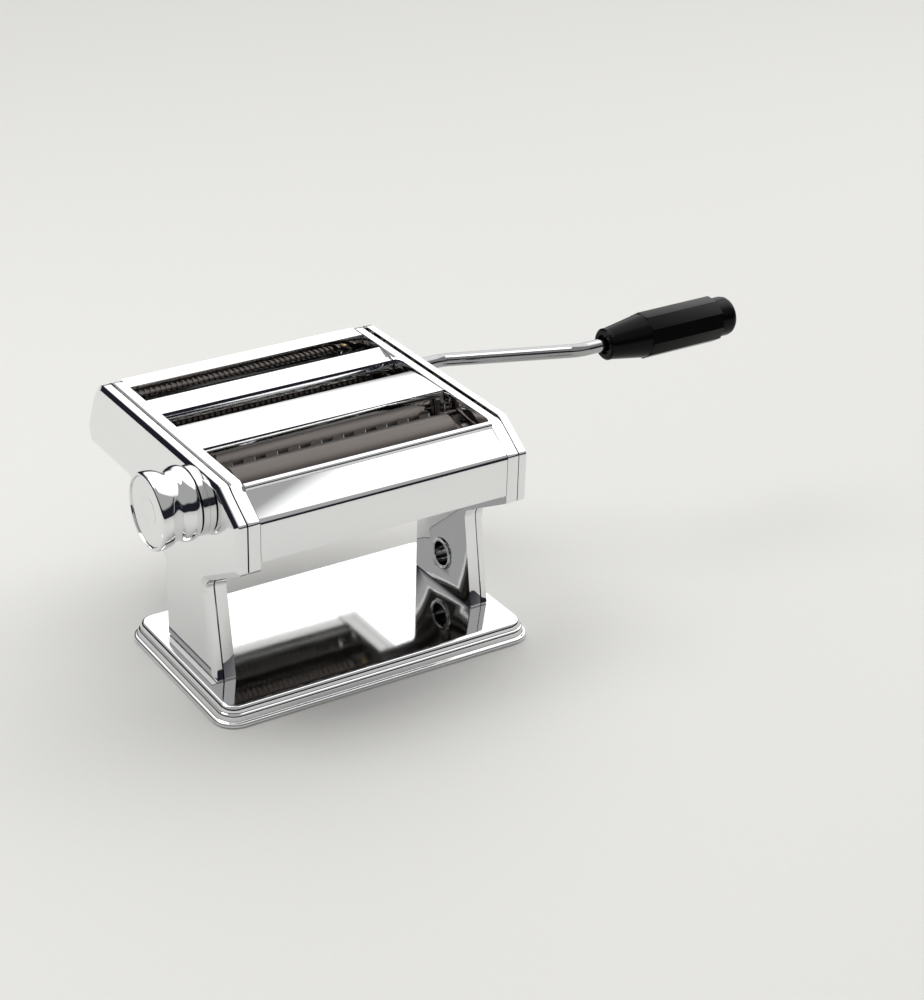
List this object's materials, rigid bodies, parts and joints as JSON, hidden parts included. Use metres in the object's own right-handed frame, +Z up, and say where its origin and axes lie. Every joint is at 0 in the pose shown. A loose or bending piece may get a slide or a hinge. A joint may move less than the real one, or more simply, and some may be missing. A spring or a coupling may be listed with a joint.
{
  "type": "pasta roller machine",
  "caption": "Hand-cranked pasta roller machine with smooth rollers, a click-stop gap knob, a wide and a fine noodle cutter, and a pull-out crank, on a tray base.",
  "frame": {"origin": "middle of the base tray's underside, on the table", "axes": "+X to the right along the rollers, towards the crank; +Y to the back, away from the slanted front; +Z up"},
  "size_m": [0.4494, 0.2079, 0.1634],
  "materials": {
    "polished_chrome": "mirror polished",
    "chrome_trim": "polished",
    "roller_metal": "satin",
    "plated_steel": "zinc plated, dull",
    "bush_brass": "machined",
    "spring_steel": "drawn wire",
    "grip_plastic": "satin black",
    "foot_rubber": "matt black"
  },
  "bodies": {
    "frame": {"base_tray": "polished_chrome", "base_feet": "foot_rubber", "base_screws": "plated_steel", "leg_brackets": "plated_steel", "left_inner_frame": "polished_chrome", "right_inner_frame": "polished_chrome", "left_outer_cover": "polished_chrome", "right_outer_cover": "polished_chrome", "front_panel": "polished_chrome", "rear_panel": "polished_chrome", "centre_cover": "polished_chrome", "feed_guide": "polished_chrome", "panel_screws": "plated_steel", "tie_rods": "plated_steel", "tie_rod_nuts": "plated_steel", "cover_studs": "plated_steel", "stud_screws": "plated_steel", "left_bushes": "bush_brass", "right_bushes": "bush_brass", "socket_collars": "chrome_trim", "clamp_sleeve": "chrome_trim", "smooth_end_guards": "roller_metal", "cutter_end_guards": "roller_metal", "front_scraper": "roller_metal", "wide_combs": "roller_metal", "fine_combs": "roller_metal", "dial_boss": "chrome_trim", "carriage_guides": "plated_steel"},
    "front_roller": {"smooth_roller_front": "roller_metal", "smooth_gear_front": "plated_steel"},
    "carriage": {"carriage_plates": "plated_steel", "carriage_bar": "plated_steel", "carriage_pin": "plated_steel", "rear_scraper": "roller_metal"},
    "rear_roller": {"smooth_roller_rear": "roller_metal", "smooth_gear_rear": "plated_steel"},
    "wide_cutter_a": {"wide_cutter_front": "roller_metal", "wide_gear_front": "plated_steel"},
    "wide_cutter_b": {"wide_cutter_rear": "roller_metal", "wide_gear_rear": "plated_steel"},
    "fine_cutter_a": {"fine_cutter_front": "roller_metal", "fine_gear_front": "plated_steel"},
    "fine_cutter_b": {"fine_cutter_rear": "roller_metal", "fine_gear_rear": "plated_steel"},
    "adjuster": {"adjuster_shaft": "plated_steel", "gap_cam": "plated_steel", "spring_washer": "plated_steel", "spring_screw": "plated_steel", "knob_spring": "spring_steel"},
    "knob": {"knob": "polished_chrome", "knob_cap": "chrome_trim", "detent_pin": "plated_steel"},
    "crank": {"crank_rod": "polished_chrome", "crank_pin": "plated_steel", "grip_washer": "plated_steel"},
    "grip": {"crank_grip": "grip_plastic", "grip_cap": "grip_plastic"}
  },
  "joints": [
    {"name": "smooth_drive_spin", "type": "hinge", "parent": "frame", "child": "front_roller", "pos_m": [0, -0.0434, 0.1295], "axis": [1, 0, 0], "continuous": true},
    {"name": "gap_slide", "type": "slide", "parent": "frame", "child": "carriage", "axis": [0, 1, 0], "range_m": [-0.0009, 0.0018]},
    {"name": "smooth_idler_spin", "type": "hinge", "parent": "carriage", "child": "rear_roller", "pos_m": [0, -0.014, 0.1295], "axis": [1, 0, 0], "continuous": true},
    {"name": "wide_drive_spin", "type": "hinge", "parent": "frame", "child": "wide_cutter_a", "pos_m": [0, 0.0425, 0.1295], "axis": [1, 0, 0], "continuous": true},
    {"name": "wide_idler_spin", "type": "hinge", "parent": "frame", "child": "wide_cutter_b", "pos_m": [0, 0.0605, 0.1295], "axis": [1, 0, 0], "continuous": true},
    {"name": "fine_drive_spin", "type": "hinge", "parent": "frame", "child": "fine_cutter_a", "pos_m": [0, 0.085, 0.1295], "axis": [1, 0, 0], "continuous": true},
    {"name": "fine_idler_spin", "type": "hinge", "parent": "frame", "child": "fine_cutter_b", "pos_m": [0, 0.103, 0.1295], "axis": [1, 0, 0], "continuous": true},
    {"name": "knob_turn", "type": "hinge", "parent": "frame", "child": "adjuster", "pos_m": [-0.1, -0.014, 0.1295], "axis": [-1, 0, 0], "range_deg": [-108.01, 216.01]},
    {"name": "knob_pull", "type": "slide", "parent": "adjuster", "child": "knob", "axis": [-1, 0, 0], "range_m": [0, 0.005], "stiffness_N_per_m": 1500, "springref_m": -0.002, "deforming": ["knob_spring"]},
    {"name": "crank_pull", "type": "slide", "parent": "fine_cutter_a", "child": "crank", "axis": [1, 0, 0], "range_m": [0, 0.025]},
    {"name": "grip_spin", "type": "hinge", "parent": "crank", "child": "grip", "pos_m": [0.216, 0.0178, 0.14839], "axis": [1, 0, 0], "continuous": true}
  ],
  "couplings": [
    {"joint": "smooth_idler_spin", "follows": "smooth_drive_spin", "ratio": -1},
    {"joint": "wide_idler_spin", "follows": "wide_drive_spin", "ratio": -1},
    {"joint": "fine_idler_spin", "follows": "fine_drive_spin", "ratio": -1},
    {"joint": "knob_turn", "follows": "gap_slide", "rad_per_m": 2094.4}
  ]
}
